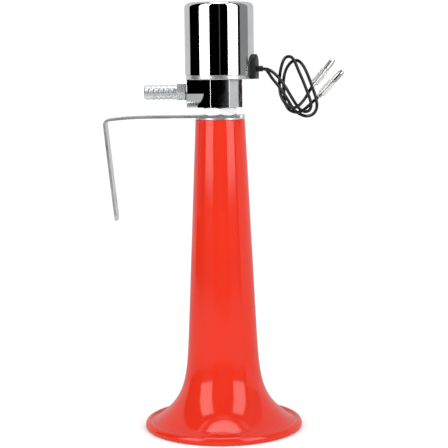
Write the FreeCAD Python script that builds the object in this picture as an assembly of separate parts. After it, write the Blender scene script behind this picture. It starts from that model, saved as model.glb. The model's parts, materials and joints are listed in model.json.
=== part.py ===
"""Electric trumpet horn (an alarm siren that sounds on compressed air).

A solenoid valve under a chromed can lets air from the hose nipple through a reed into a red
plastic trumpet. The horn stands on the mouth of its bell.

Frame, in millimetres: origin at the centre of the bell's mouth, on the plane that it rests on.
+Z runs up the horn's axis, -Y is the front, +X is the cable side, -X the hose and bracket side.
"""
import FreeCAD
import Part
import math
import os

V = FreeCAD.Vector
Z_AXIS = V(0, 0, 1)
X_AXIS = V(1, 0, 0)
Y_AXIS = V(0, 1, 0)

OVERLAP = 1.0              # how far shapes being joined or cut run past each other

# ---- driving dimensions: trumpet ----
HORN_HEIGHT = 199.4
MOUTH_RADIUS = 50.8
TOP_RADIUS = 15.75
CONE_SLOPE = 0.0456        # radius gained per millimetre down the slow cone
FLARE_DEPTH = 14.2
FLARE_POWER = 1.25
HORN_WALL = 2.0
HORN_TOP_WALL = 3.0
LIP_WIDTH = 4.4
LIP_HEIGHT = 5.2
TOP_EDGE_ROUND = 0.8
SOLE_ROUND = 1.4           # outer corner of the lip, where it meets the ground
LIP_STEP = 0.7             # the flare meets the lip this far below its ridge
SOLE_INSET = 0.2           # the flat sole starts this far outside the lip's inner edge
FOOT_REACH = 1.6           # the inner foot curves in this far
FOOT_RISE = 1.3            # and this far up
FOOT_MIDDLE = (0.62, 0.27)  # shares of that reach and rise at the curve's middle
RIDGE_SHARE = 0.45         # where the lip's ridge stands across its width
RIDGE_SHOULDER = 0.22      # drop of the lip's inner shoulder below the ridge
RIM_BULGE = 0.5            # the lip's outer face, in from the rim, at RIM_BULGE_SHARE of its height
RIM_BULGE_SHARE = 0.74
PROFILE_SHARES = (0.75, 0.5, 0.33, 0.24, 0.18, 0.135, 0.1, 0.073, 0.05, 0.035)  # of the height

# ---- driving dimensions: threaded stem and what is clamped on it ----
STEM_RADIUS = 7.0
STEM_BELOW_NUT = 2.4       # stem left below the inner nut
FIT_CLEARANCE = 0.05       # radial, where a piece fits round or inside another
SWIVEL_CLEARANCE = 0.08    # radial and end play of the bracket
WASHER_THICKNESS = 1.0
STRAP_THICKNESS = 1.5
LOCK_NUT_FLATS = 20.6
LOCK_NUT_HEIGHT = 4.8
INNER_NUT_FLATS = 19.0
INNER_NUT_HEIGHT = 4.5
NUT_BEVEL = 0.55           # slope of the bevel that turns a nut's corners off
NUT_FACE = 0.1             # the bevel starts this share of a corner outside the flats

# ---- driving dimensions: bracket ----
STRAP_WIDTH = 20.0
STRAP_RIGHT_REACH = 15.7
STRAP_LEFT_REACH = 74.3
DROOP_START = 46.0         # the arm starts to droop this far left of the axis
DROOP_RADIUS = 210.0
BEND_RADIUS = 2.2          # inside radius of the bend
LEG_LENGTH = 61.1
LEG_LEAN = 5.8             # degrees, inwards
LEG_HOLE_RADIUS = 4.25
LEG_HOLE_UP = 13.0         # from the leg's end
STRAP_CORNER = 4.0

# ---- driving dimensions: valve body ----
BODY_FLATS = 28.4
BODY_HEIGHT = 17.6
BOSS_RADIUS = 9.9
BOSS_REACH = 21.1
EDGE_ROUND = 0.5
CHAMBER_MARGIN = 1.02       # the chamber round the guide tube
CHAMBER_FLOOR_UP = 7.2     # above the body's underside
SEAT_MARGIN = 0.2          # the seat is this much smaller than the seal
SEAT_HEIGHT = 2.2
ORIFICE_RADIUS = 2.0
INLET_RADIUS = 2.4
INLET_RISE = 0.6           # above the nipple's axis
HOLE_EXTRA = 0.5           # how much deeper a hole is than what goes in it
NIPPLE_THREAD_RADIUS = 4.2
NIPPLE_THREAD_LENGTH = 8.5

# ---- driving dimensions: hose nipple ----
NIPPLE_FLATS = 10.2
NIPPLE_HEX_LENGTH = 5.4
NIPPLE_WASHER = 0.8
NIPPLE_BORE = 2.5
BARB_RADIUS = 4.6
BARB_ROOT = 4.25
BARB_PITCH = 3.2
BARB_COUNT = 6
BARB_LAND = 0.8
BARB_RISE = 0.25           # length over which a barb rises to its land
BARB_END = 0.45            # plain end past the last barb
NIPPLE_NECK = 1.0          # between the hexagon and the first barb

# ---- driving dimensions: solenoid ----
PLATE_INSET = 0.55         # the plate is this much smaller than the can
PLATE_THICKNESS = 2.8
PLATE_SHOULDER = 0.8
SCREW_EDGE = 2.6           # from a screw's axis to the body's flat
SCREW_RADIUS = 1.2
SCREW_LENGTH = 9.0
SCREW_SINK = 0.1           # heads lie this far below the shoulder
SCREW_SLOT = 0.6
SCREW_SLOT_DEPTH = 0.8
CAN_RADIUS = 21.85
CAN_HEIGHT = 45.3
CAN_WALL = 1.2
CAN_TOP_ROUND = 3.2
PLUNGER_RADIUS = 4.5
PLUNGER_LENGTH = 24.5
PLUNGER_STROKE = 1.6
PLUNGER_GAP = 0.2          # left between the plunger and the core at full lift
PLUNGER_CLEARANCE = 0.08
TUBE_WALL = 0.6
TUBE_FLANGE_RADIUS = 8.5
TUBE_FLANGE_THICKNESS = 1.2
O_RING_SECTION = 0.6       # half the cord's thickness
SEAL_RIM = 0.9             # wall of the plunger round its seal
SEAL_THICKNESS = 1.8
SEAL_PROUD = 0.3
SPRING_WIRE = 0.25
SPRING_RADIUS = 2.2
SPRING_POCKET = 8.0
SPRING_CLEARANCE = 0.2
PLUNGER_CHAMFER = 0.4
SPRING_TURNS = 6
BOBBIN_WALL = 1.1
BOBBIN_FLANGE = 1.4
BOBBIN_GAP = 1.65          # between the bobbin and the grommet's inner flange
BOBBIN_HEIGHT = 36.0
WINDING_INSET = 1.6
CUSHION_INSET = 1.0
CORE_HEAD_RADIUS = 7.0

# ---- driving dimensions: cable exit ----
CABLE_AZIMUTH = -12.0      # degrees about the axis, from +X
SLOT_WIDTH = 9.1
SLOT_CUT = 4.0             # the slot's cutter reaches this far each side of the can's face
SLOT_TOP_UP = 11.0         # top of the can's slot above its lower edge
GROMMET_LAP = 1.95         # the flanges reach this far past the slot each side
GROMMET_ROUND = 0.9
GROMMET_LIFT = 0.4         # the inner flange clears the bobbin by this much
GROMMET_PROUD = 2.4
GROMMET_BELOW = 2.7        # how far the outer flange hangs below the can
GROMMET_ABOVE = 1.9        # how far it reaches above the slot
GROMMET_INNER = 1.8
NOSE_LENGTH = 3.4
NOSE_DROP = 1.4            # below the middle of the outer flange
NOSE_WALL = 0.8
LEAD_RADIUS = 1.0
LEAD_SPREAD = 1.12         # half the distance between the two leads in the nose
LEAD_GRIP = 2.6            # length of lead held inside the nose
LEAD_CLEARANCE = 0.02
TAIL_RADIUS = 0.3          # wire of the winding's ends
TAIL_CLEARANCE = 0.02
LEAD_STRAIGHT = 1.6        # how far a lead runs on straight out of the nose

# ---- driving dimensions: terminals ----
TERMINAL_LENGTH = 22.5
BULLET_RADIUS = 1.95
BULLET_LENGTH = 9.6
BULLET_NECK = 1.5
BARREL_RADIUS = 1.4
SLEEVE_RADIUS = 2.5
SLEEVE_WALL = 0.4
SLEEVE_START = 2.8
SLEEVE_LENGTH = 10.2
BARREL_START = 0.3         # clear of the lead's end
COLLAR_RISE = 0.35
COLLAR_BACK = 1.4          # the collar starts this far before the bullet
COLLAR_EDGE = 0.2
NECK_LENGTH = 0.9
BULLET_SHOULDER = 0.5
BULLET_NOSE = 2.4
NOSE_TAPER = 0.5
BULLET_SHOULDER_RADIUS = 1.56
BULLET_TIP_RADIUS = 1.07
BULLET_BORE = 1.17         # inside the slit part
SLIT_WIDTH = 0.4
SLIT_END = 0.4
SLIT_START = 0.9
CRIMP_PLACES = (3.6, 5.6)  # along the barrel
CRIMP_WIDTH = 0.8
CRIMP_DEPTH = 0.25

# ---- driving dimensions: reed ----
REED_BORE = 4.4            # bore in the stem that takes the reed block
REED_BORE_DEPTH = 8.0
REED_BLOCK_DROP = 17.0     # length of the block below the stem
REED_FACE_DEPTH = 1.5      # the flat face stands this far in front of the axis
REED_FACE_TOP = 0.8        # its top, below the stem's end
REED_WIDTH = 4.6
REED_LENGTH = 13.0         # with the part under the clamp
REED_THICKNESS = 0.35
REED_GAP = 0.35            # between the tongue and the face
REED_END_GAP = 0.15        # between the tongue and the clamp
REED_SIDE_GAP = 0.3
REED_CLAMP_HEIGHT = 3.6
REED_CLAMP_DROP = 0.9      # its top, below the stem's end
REED_CLAMP_THICKNESS = 1.0
REED_SHIM = 1.0            # height of the step that spaces the clamp off the face
REED_SCREW_RADIUS = 0.55
REED_SCREW_HEAD = 1.3
REED_SCREW_HEAD_HEIGHT = 0.8
REED_SCREW_HOLE_DEPTH = 0.9
REED_AIRWAY = 1.7
REED_AIRWAY_OFFSET = 0.8   # behind the axis
REED_AIRWAY_FLOOR = 2.5    # thickness of the block's closed end
REED_SLOT_LAND = 1.0       # the face left on each side of the slot, and above it

# ---- sizes that follow ----
FLARE_RISE = MOUTH_RADIUS - TOP_RADIUS - CONE_SLOPE * HORN_HEIGHT  # what the flare adds at the mouth
WASHER_TOP = HORN_HEIGHT + WASHER_THICKNESS
STRAP_BOTTOM = WASHER_TOP + SWIVEL_CLEARANCE
STRAP_TOP = STRAP_BOTTOM + STRAP_THICKNESS
NUT_BOTTOM = STRAP_TOP + SWIVEL_CLEARANCE
BODY_BOTTOM = NUT_BOTTOM + LOCK_NUT_HEIGHT
BODY_TOP = BODY_BOTTOM + BODY_HEIGHT
STEM_BOTTOM = HORN_HEIGHT - HORN_TOP_WALL - INNER_NUT_HEIGHT - STEM_BELOW_NUT
NIPPLE_Z = BODY_BOTTOM + BOSS_RADIUS
REED_FACE_Y = -REED_FACE_DEPTH
REED_FRONT_Y = REED_FACE_Y - REED_GAP
REED_CLAMP_TOP = STEM_BOTTOM - REED_CLAMP_DROP
REED_TOP = REED_CLAMP_TOP - REED_CLAMP_HEIGHT - REED_END_GAP
CHAMBER_FLOOR = BODY_BOTTOM + CHAMBER_FLOOR_UP
SEAT_TOP = CHAMBER_FLOOR + SEAT_HEIGHT
PLATE_TOP = BODY_TOP + PLATE_THICKNESS
BOBBIN_BOTTOM = PLATE_TOP + PLATE_SHOULDER
BOBBIN_TOP = BOBBIN_BOTTOM + BOBBIN_HEIGHT
CAN_TOP = PLATE_TOP + CAN_HEIGHT
CAN_INSIDE_RADIUS = CAN_RADIUS - CAN_WALL
CAN_INSIDE_TOP = CAN_TOP - CAN_WALL
TUBE_INSIDE = PLUNGER_RADIUS + PLUNGER_CLEARANCE
TUBE_OUTSIDE = TUBE_INSIDE + TUBE_WALL
CHAMBER_RADIUS = TUBE_OUTSIDE + CHAMBER_MARGIN
SEAL_RADIUS = PLUNGER_RADIUS - SEAL_RIM
SEAT_RADIUS = SEAL_RADIUS - SEAT_MARGIN
PLATE_RADIUS = CAN_RADIUS - PLATE_INSET
SCREW_CIRCLE = BODY_FLATS / 2 - SCREW_EDGE
BOBBIN_RADIUS = CAN_INSIDE_RADIUS - GROMMET_INNER - BOBBIN_GAP
WINDING_RADIUS = BOBBIN_RADIUS - WINDING_INSET
PLUNGER_BOTTOM = SEAT_TOP + SEAL_PROUD
PLUNGER_TOP = PLUNGER_BOTTOM + PLUNGER_LENGTH
CORE_BOTTOM = PLUNGER_TOP + PLUNGER_STROKE + PLUNGER_GAP
TUBE_TOP = BOBBIN_TOP
O_RING_RADIUS = TUBE_FLANGE_RADIUS - O_RING_SECTION
FLANGE_BOTTOM = BODY_TOP - TUBE_FLANGE_THICKNESS
GROMMET_WIDTH = SLOT_WIDTH + 2 * GROMMET_LAP
SLOT_TOP = PLATE_TOP + SLOT_TOP_UP
GROMMET_BOTTOM = PLATE_TOP - GROMMET_BELOW
GROMMET_TOP = SLOT_TOP + GROMMET_ABOVE
NOSE_Z = (GROMMET_BOTTOM + GROMMET_TOP) / 2 - NOSE_DROP
NOSE_START = CAN_RADIUS + GROMMET_PROUD
BULLET_LAND_START = TERMINAL_LENGTH - BULLET_LENGTH + NECK_LENGTH + BULLET_SHOULDER
BULLET_LAND_END = TERMINAL_LENGTH - BULLET_NOSE
NOSE_END = NOSE_START + NOSE_LENGTH

# ---- lead routes: corners chosen by hand, after the straight out of the nose, to each terminal ----
LEAD_A = [
    (31.4, -7.6, 230.2), (34.9, -6.9, 227.6), (38.8, -7.0, 223.3), (41.8, -6.6, 218.7),
    (44.6, -5.1, 213.8), (47.5, -3.7, 209.2), (50.2, -2.5, 205.3), (53.7, -2.7, 203.1),
    (56.8, -5.0, 204.3), (57.7, -6.8, 207.9), (56.6, -6.9, 212.1), (54.5, -6.9, 217.6),
    (52.3, -6.9, 223.4), (49.9, -6.9, 228.8), (47.9, -6.9, 233.9), (45.9, -6.8, 237.7),
    (43.3, -6.8, 238.6), (40.7, -6.5, 237.2), (39.2, -5.4, 233.3), (38.2, -4.3, 228.8),
    (37.7, -4.1, 223.9), (37.7, -4.1, 219.2), (38.2, -4.5, 214.4), (40.0, -6.2, 210.3),
    (43.3, -6.7, 207.1), (46.9, -6.5, 205.9), (50.3, -5.8, 207.8), (53.3, -4.3, 211.1),
    (55.8, -3.9, 215.2), (58.4, -3.7, 219.6),
]
LEAD_B = [
    (30.6, -5.7, 228.7), (32.9, -6.5, 224.9), (36.1, -7.0, 221.1), (38.9, -6.9, 217.3),
    (41.6, -5.6, 213.2), (44.0, -4.2, 209.3), (46.5, -3.0, 205.1), (50.0, -2.3, 202.1),
    (54.7, -3.0, 200.3), (59.2, -5.2, 201.8), (61.3, -6.8, 206.0), (60.9, -6.9, 211.1),
    (59.0, -6.9, 217.0), (57.0, -6.9, 222.6), (54.9, -6.5, 228.2), (52.7, -5.4, 232.7),
    (50.0, -4.3, 235.7), (47.1, -4.0, 236.1), (44.5, -4.2, 234.2), (42.3, -4.3, 231.3),
    (40.9, -4.2, 227.5), (40.2, -3.9, 222.8), (40.4, -2.6, 218.3), (40.8, -2.2, 213.8),
    (41.0, -3.3, 209.0), (43.3, -4.9, 204.9), (47.1, -5.3, 203.2), (50.6, -5.1, 203.3),
    (53.9, -4.6, 205.4), (56.9, -4.1, 208.2), (62.2, -4.2, 212.7),
]
TERMINAL_A_DIRECTION = (0.62, 0.22, 0.74)
TERMINAL_B_DIRECTION = (0.69, 0.05, 0.72)


# ---- how a route is rounded and tested ----
CORNER_SHARE = 0.45         # share of the shorter run that a corner's arc takes up
VOLUME_TOLERANCE = 0.02


# ---- shape helpers ----
def cylinder(radius, low, high, x=0.0, y=0.0):
    return Part.makeCylinder(radius, high - low, V(x, y, low), Z_AXIS)


def ring(inside, outside, low, high):
    return cylinder(outside, low, high).cut(cylinder(inside, low - OVERLAP, high + OVERLAP))


def hexagon(flats, low, high, turn=30.0):
    """A hexagonal prism on the Z axis; turn 0 puts a corner on +X."""
    radius = flats / math.sqrt(3)
    return prism(6, radius, low, high, turn)


def prism(sides, radius, low, high, turn):
    corners = []
    for i in range(sides + 1):
        a = math.radians(turn + 360.0 * i / sides)
        corners.append(V(radius * math.cos(a), radius * math.sin(a), low))
    return Part.Face(Part.makePolygon(corners)).extrude(V(0, 0, high - low))


def box(x0, x1, y0, y1, z0, z1):
    return Part.makeBox(x1 - x0, y1 - y0, z1 - z0, V(x0, y0, z0))


def along_x(shape, x, z):
    """Turn a shape made on the Z axis so that its Z points to -X from (x, 0, z)."""
    turned = shape.copy()
    turned.rotate(V(0, 0, 0), V(0, 1, 0), -90)
    turned.translate(V(x, 0, z))
    return turned


def revolved(edges):
    return Part.Face(Part.Wire(edges)).revolve(V(0, 0, 0), Z_AXIS, 360)


def outline(points):
    """Edges of a closed outline through (radius, height) points."""
    places = [V(r, 0, z) for r, z in points]
    return [Part.LineSegment(a, b).toShape() for a, b in zip(places, places[1:] + places[:1])]


def turned_part(points):
    return revolved(outline(points))


def at_cable(shape):
    """Swing a shape made facing +X round to the cable's side."""
    turned = shape.copy()
    turned.rotate(V(0, 0, 0), Z_AXIS, CABLE_AZIMUTH)
    return turned


def cable_point(x, y, z):
    a = math.radians(CABLE_AZIMUTH)
    return (x * math.cos(a) - y * math.sin(a), x * math.sin(a) + y * math.cos(a), z)


def save(name, shape):
    solids = shape.Solids
    if not solids or not shape.isValid():
        raise RuntimeError("bad solid: " + name)
    if len(solids) == 1:
        shape = solids[0]
    shape.exportStep(os.path.join("parts", name + ".step"))


# ---- trumpet ----
def horn_radius(z):
    """Outer radius of the trumpet at a height: a slow cone and a flare that dies away."""
    cone = TOP_RADIUS + CONE_SLOPE * (HORN_HEIGHT - z)
    return cone + FLARE_RISE * math.exp(-((z / FLARE_DEPTH) ** FLARE_POWER))


def horn_slope(z):
    step = 0.01
    return (horn_radius(z - step) - horn_radius(z + step)) / (2 * step)


def trumpet():
    lip_inside = MOUTH_RADIUS - LIP_WIDTH
    flare_start = LIP_HEIGHT - LIP_STEP
    heights = [HORN_HEIGHT - TOP_EDGE_ROUND]
    heights += [HORN_HEIGHT * k for k in PROFILE_SHARES]
    outer = [V(horn_radius(z), 0, z) for z in heights] + [V(lip_inside, 0, flare_start)]
    inner_top = HORN_HEIGHT - HORN_TOP_WALL
    inner = [V(horn_radius(inner_top) - HORN_WALL, 0, inner_top)]
    for z in heights[1:]:
        inner.append(V(horn_radius(z) - HORN_WALL * math.hypot(1, horn_slope(z)), 0, z))
    foot = lip_inside + SOLE_INSET
    inner.append(V(foot - FOOT_REACH, 0, FOOT_RISE))
    outer_curve = Part.BSplineCurve()
    outer_curve.interpolate(outer)
    inner_curve = Part.BSplineCurve()
    inner_curve.interpolate(inner[::-1])
    hole = STEM_RADIUS + FIT_CLEARANCE
    top_edge = V(horn_radius(HORN_HEIGHT) - TOP_EDGE_ROUND, 0, HORN_HEIGHT)
    half_turn = math.sqrt(0.5)
    rounded = V(top_edge.x + half_turn * TOP_EDGE_ROUND, 0,
                HORN_HEIGHT - (1 - half_turn) * TOP_EDGE_ROUND)
    ridge = V(lip_inside + RIDGE_SHARE * LIP_WIDTH, 0, LIP_HEIGHT)
    shoulder = V(lip_inside + RIDGE_SHARE / 2 * LIP_WIDTH, 0, LIP_HEIGHT - RIDGE_SHOULDER)
    rim = V(MOUTH_RADIUS, 0, SOLE_ROUND)
    sole_out = V(MOUTH_RADIUS - SOLE_ROUND, 0, 0)
    sole_mid = SOLE_ROUND * (1 - math.sqrt(0.5))
    sole_in = V(foot, 0, 0)
    edges = [
        Part.LineSegment(V(hole, 0, inner_top), V(hole, 0, HORN_HEIGHT)).toShape(),
        Part.LineSegment(V(hole, 0, HORN_HEIGHT), top_edge).toShape(),
        Part.Arc(top_edge, rounded, outer[0]).toShape(),
        outer_curve.toShape(),
        Part.Arc(outer[-1], shoulder, ridge).toShape(),
        Part.Arc(ridge, V(MOUTH_RADIUS - RIM_BULGE, 0, RIM_BULGE_SHARE * LIP_HEIGHT), rim).toShape(),
        Part.Arc(rim, V(MOUTH_RADIUS - sole_mid, 0, sole_mid), sole_out).toShape(),
        Part.LineSegment(sole_out, sole_in).toShape(),
        Part.Arc(sole_in, V(foot - FOOT_MIDDLE[0] * FOOT_REACH, 0, FOOT_MIDDLE[1] * FOOT_RISE), inner[-1]).toShape(),
        inner_curve.toShape(),
        Part.LineSegment(inner[0], V(hole, 0, inner_top)).toShape(),
    ]
    return revolved(edges)


# ---- bracket and the pieces clamped with it ----
def strap_side(depth):
    """Points of the strap's side view at a depth below its top surface: (x, z) and arc middles."""
    lean = math.radians(LEG_LEAN)
    outer_bend = BEND_RADIUS + STRAP_THICKNESS
    bend_end_x = -STRAP_LEFT_REACH + outer_bend
    run = -DROOP_START - bend_end_x
    droop = math.asin(run / DROOP_RADIUS)
    centre_1 = V(-DROOP_START, 0, STRAP_TOP - DROOP_RADIUS)
    normal = V(-math.sin(droop), 0, math.cos(droop))
    centre_2 = centre_1 + normal * (DROOP_RADIUS - outer_bend)
    last = V(-math.cos(lean), 0, -math.sin(lean))
    middle_angle = (droop + math.pi / 2 + lean) / 2
    middle = V(-math.sin(middle_angle), 0, math.cos(middle_angle))
    half = V(-math.sin(droop / 2), 0, math.cos(droop / 2))
    leg = V(math.sin(lean), 0, -math.cos(lean)) * LEG_LENGTH
    r_1, r_2 = DROOP_RADIUS - depth, outer_bend - depth
    return {
        "start": V(STRAP_RIGHT_REACH, 0, STRAP_TOP - depth),
        "droop": V(-DROOP_START, 0, STRAP_TOP - depth),
        "droop_mid": centre_1 + half * r_1,
        "bend": centre_2 + normal * r_2,
        "bend_mid": centre_2 + middle * r_2,
        "leg": centre_2 + last * r_2,
        "end": centre_2 + last * r_2 + leg,
    }


def mounting_bracket():
    top, under = strap_side(0.0), strap_side(STRAP_THICKNESS)
    edges = []
    for side in (top, under):
        edges += [
            Part.LineSegment(side["start"], side["droop"]).toShape(),
            Part.Arc(side["droop"], side["droop_mid"], side["bend"]).toShape(),
            Part.Arc(side["bend"], side["bend_mid"], side["leg"]).toShape(),
            Part.LineSegment(side["leg"], side["end"]).toShape(),
        ]
    edges.append(Part.LineSegment(top["start"], under["start"]).toShape())
    edges.append(Part.LineSegment(top["end"], under["end"]).toShape())
    wire = Part.Wire(Part.__sortEdges__(edges))
    strap = Part.Face(wire).extrude(V(0, STRAP_WIDTH, 0))
    strap.translate(V(0, -STRAP_WIDTH / 2, 0))
    ends = (STRAP_RIGHT_REACH, top["end"].x, under["end"].x)
    corners = [
        e for e in strap.Edges
        if len(e.Vertexes) == 2
        and abs(abs(e.Vertexes[0].Y) - STRAP_WIDTH / 2) < 1e-6
        and abs(e.Vertexes[0].Y - e.Vertexes[1].Y) < 1e-6
        and abs(e.Length - STRAP_THICKNESS) < 1e-4
        and min(abs(e.Vertexes[0].X - x) for x in ends) < 1e-4
    ]
    strap = strap.makeFillet(STRAP_CORNER, corners)
    strap = strap.cut(cylinder(STEM_RADIUS + SWIVEL_CLEARANCE, STRAP_BOTTOM - OVERLAP, STRAP_TOP + OVERLAP))
    centre, direction = leg_hole()
    reach = STRAP_THICKNESS / 2 + OVERLAP
    drill = Part.makeCylinder(LEG_HOLE_RADIUS, 2 * reach, centre - direction * reach, direction)
    return strap.cut(drill)


def leg_hole():
    """Centre and outward direction of the bolt hole in the bracket's leg."""
    lean = math.radians(LEG_LEAN)
    end = strap_side(STRAP_THICKNESS / 2)["end"]
    up_leg = V(-math.sin(lean), 0, math.cos(lean))
    return end + up_leg * LEG_HOLE_UP, V(-math.cos(lean), 0, -math.sin(lean))


def chamfered_nut(flats, low, high, bore):
    """A hexagonal nut with its corners turned off on both faces."""
    corner = flats / math.sqrt(3)
    bevel = corner - flats / 2
    face = flats / 2 + NUT_FACE * bevel
    cutter = turned_part([
        (0, low), (face, low), (corner, low + NUT_BEVEL * bevel),
        (corner, high - NUT_BEVEL * bevel), (face, high), (0, high),
    ])
    nut = hexagon(flats, low, high).common(cutter)
    return nut.cut(cylinder(bore, low - OVERLAP, high + OVERLAP))


def lock_nut():
    return chamfered_nut(LOCK_NUT_FLATS, NUT_BOTTOM, BODY_BOTTOM, STEM_RADIUS + FIT_CLEARANCE)


def inner_nut():
    top = HORN_HEIGHT - HORN_TOP_WALL
    return chamfered_nut(INNER_NUT_FLATS, top - INNER_NUT_HEIGHT, top, STEM_RADIUS + FIT_CLEARANCE)


def horn_washer():
    return ring(STEM_RADIUS + FIT_CLEARANCE, TOP_RADIUS, HORN_HEIGHT, WASHER_TOP)


# ---- valve body and nipple ----
def valve_body():
    octagon = prism(8, BODY_FLATS / 2 / math.cos(math.pi / 8), BODY_BOTTOM, BODY_TOP, 180.0 / 8)
    boss = along_x(cylinder(BOSS_RADIUS, 0, BOSS_REACH), 0, NIPPLE_Z)
    boss = boss.fuse(box(-BOSS_REACH, 0, -BOSS_RADIUS, BOSS_RADIUS, NIPPLE_Z, BODY_TOP))
    boss = boss.common(box(-BOSS_REACH, 0, -BOSS_RADIUS, BOSS_RADIUS, BODY_BOTTOM, BODY_TOP))
    block = octagon.fuse(boss).removeSplitter()
    upright = [
        e for e in block.Edges
        if abs(e.Vertexes[0].X - e.Vertexes[-1].X) < 1e-6
        and abs(e.Vertexes[0].Y - e.Vertexes[-1].Y) < 1e-6
        and e.Length > BODY_HEIGHT / 2
        and e.Vertexes[0].X > -BODY_FLATS / 2 + EDGE_ROUND
        and math.hypot(e.Vertexes[0].X, e.Vertexes[0].Y) > BODY_FLATS / 2 + EDGE_ROUND
    ]
    block = block.makeFillet(EDGE_ROUND, upright)
    face_x = -BOSS_REACH
    front = [
        e for e in block.Edges
        if all(abs(v.X - face_x) < 1e-6 for v in e.Vertexes) and e.BoundBox.XLength < 1e-6
        and e.BoundBox.ZMin < BODY_TOP - 1e-3
    ]
    block = block.makeFillet(EDGE_ROUND, front)
    block = block.fuse(cylinder(STEM_RADIUS, STEM_BOTTOM, BODY_BOTTOM + OVERLAP))
    block = block.cut(cylinder(CHAMBER_RADIUS, CHAMBER_FLOOR, BODY_TOP + OVERLAP))
    block = block.cut(cylinder(TUBE_FLANGE_RADIUS + 2 * FIT_CLEARANCE,
                               FLANGE_BOTTOM - 2 * O_RING_SECTION, BODY_TOP + OVERLAP))
    block = block.fuse(cylinder(SEAT_RADIUS, CHAMBER_FLOOR - OVERLAP, SEAT_TOP))
    block = block.cut(cylinder(ORIFICE_RADIUS, STEM_BOTTOM, SEAT_TOP + OVERLAP))
    block = block.cut(cylinder(REED_BORE, STEM_BOTTOM - OVERLAP, STEM_BOTTOM + REED_BORE_DEPTH))
    inlet_end = SEAT_RADIUS + OVERLAP
    inlet = cylinder(INLET_RADIUS, 0, BOSS_REACH - inlet_end)
    block = block.cut(along_x(inlet, -inlet_end, NIPPLE_Z + INLET_RISE))
    thread = NIPPLE_THREAD_RADIUS
    bore = cylinder(thread, BOSS_REACH - NIPPLE_THREAD_LENGTH - HOLE_EXTRA, BOSS_REACH + OVERLAP)
    block = block.cut(along_x(bore, 0, NIPPLE_Z))
    for y in (-SCREW_CIRCLE, SCREW_CIRCLE):
        block = block.cut(cylinder(SCREW_RADIUS, BODY_TOP - SCREW_LENGTH, BODY_TOP + OVERLAP, 0, y))
    return block.removeSplitter()


def nipple_washer():
    washer = ring(NIPPLE_THREAD_RADIUS, NIPPLE_FLATS / 2, 0, NIPPLE_WASHER)
    return along_x(washer, -BOSS_REACH, NIPPLE_Z)


def hose_nipple():
    """Threaded tail in the boss, hexagon, and a barbed spigot for the hose."""
    hex_end = NIPPLE_WASHER + NIPPLE_HEX_LENGTH
    hexagon_part = chamfered_nut(NIPPLE_FLATS, NIPPLE_WASHER, hex_end, NIPPLE_BORE)
    profile = [(NIPPLE_BORE, hex_end), (BARB_ROOT, hex_end)]
    z = hex_end + NIPPLE_NECK
    for _ in range(BARB_COUNT):
        land = z + BARB_RISE
        profile += [(BARB_ROOT, z), (BARB_RADIUS, land), (BARB_RADIUS, land + BARB_LAND)]
        z += BARB_PITCH
        profile.append((BARB_ROOT, z - FIT_CLEARANCE))
    profile += [(BARB_ROOT - EDGE_ROUND, z + BARB_END), (NIPPLE_BORE, z + BARB_END)]
    tail = ring(NIPPLE_BORE, NIPPLE_THREAD_RADIUS - FIT_CLEARANCE, -NIPPLE_THREAD_LENGTH, NIPPLE_WASHER)
    part = hexagon_part.fuse(turned_part(profile)).fuse(tail)
    return along_x(part, -BOSS_REACH, NIPPLE_Z)


# ---- solenoid ----
def base_plate():
    plate = cylinder(PLATE_RADIUS, BODY_TOP, PLATE_TOP)
    plate = plate.makeFillet(EDGE_ROUND, [e for e in plate.Edges if len(e.Vertexes) == 1])
    plate = plate.fuse(cylinder(CAN_INSIDE_RADIUS - FIT_CLEARANCE, PLATE_TOP - OVERLAP, BOBBIN_BOTTOM))
    plate = plate.cut(cylinder(TUBE_OUTSIDE + FIT_CLEARANCE, BODY_TOP - OVERLAP, BOBBIN_BOTTOM + OVERLAP))
    for y in (-SCREW_CIRCLE, SCREW_CIRCLE):
        plate = plate.cut(screw_shape(y, FIT_CLEARANCE))
    return plate


def screw_shape(y, clearance=0.0):
    """A countersunk screw, its head flush with the plate's upper face."""
    radius = SCREW_RADIUS - FIT_CLEARANCE + clearance
    head = 2 * SCREW_RADIUS + clearance
    top = BOBBIN_BOTTOM - SCREW_SINK
    cone = Part.makeCone(radius, head, head - radius, V(0, y, top - head + radius), Z_AXIS)
    shank = cylinder(radius, BODY_TOP - SCREW_LENGTH + HOLE_EXTRA, top - head + radius + SCREW_SINK, 0, y)
    return cone.fuse(shank)


def plate_screws():
    screws = []
    for y in (-SCREW_CIRCLE, SCREW_CIRCLE):
        slot = box(-3 * SCREW_RADIUS, 3 * SCREW_RADIUS, y - SCREW_SLOT / 2, y + SCREW_SLOT / 2,
                   BOBBIN_BOTTOM - SCREW_SLOT_DEPTH, BOBBIN_BOTTOM)
        screws.append(screw_shape(y).cut(slot))
    return Part.makeCompound(screws)


def cable_slot(width, top, bottom):
    """A slot with a round top, cut through the can's wall where the cable leaves."""
    return tombstone(width, top, bottom, CAN_RADIUS - SLOT_CUT, CAN_RADIUS + SLOT_CUT)


def solenoid_can():
    body = cylinder(CAN_RADIUS, PLATE_TOP, CAN_TOP)
    top_edge = [e for e in body.Edges if abs(e.BoundBox.ZMin - CAN_TOP) < 1e-6 and len(e.Vertexes) == 1]
    body = body.makeFillet(CAN_TOP_ROUND, top_edge)
    inside = cylinder(CAN_INSIDE_RADIUS, PLATE_TOP - OVERLAP, CAN_INSIDE_TOP)
    inside_edge = [e for e in inside.Edges
                   if abs(e.BoundBox.ZMin - CAN_INSIDE_TOP) < 1e-6 and len(e.Vertexes) == 1]
    inside = inside.makeFillet(CAN_TOP_ROUND - CAN_WALL, inside_edge)
    body = body.cut(inside)
    return body.cut(at_cable(cable_slot(SLOT_WIDTH, SLOT_TOP, PLATE_TOP - OVERLAP)))


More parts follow.
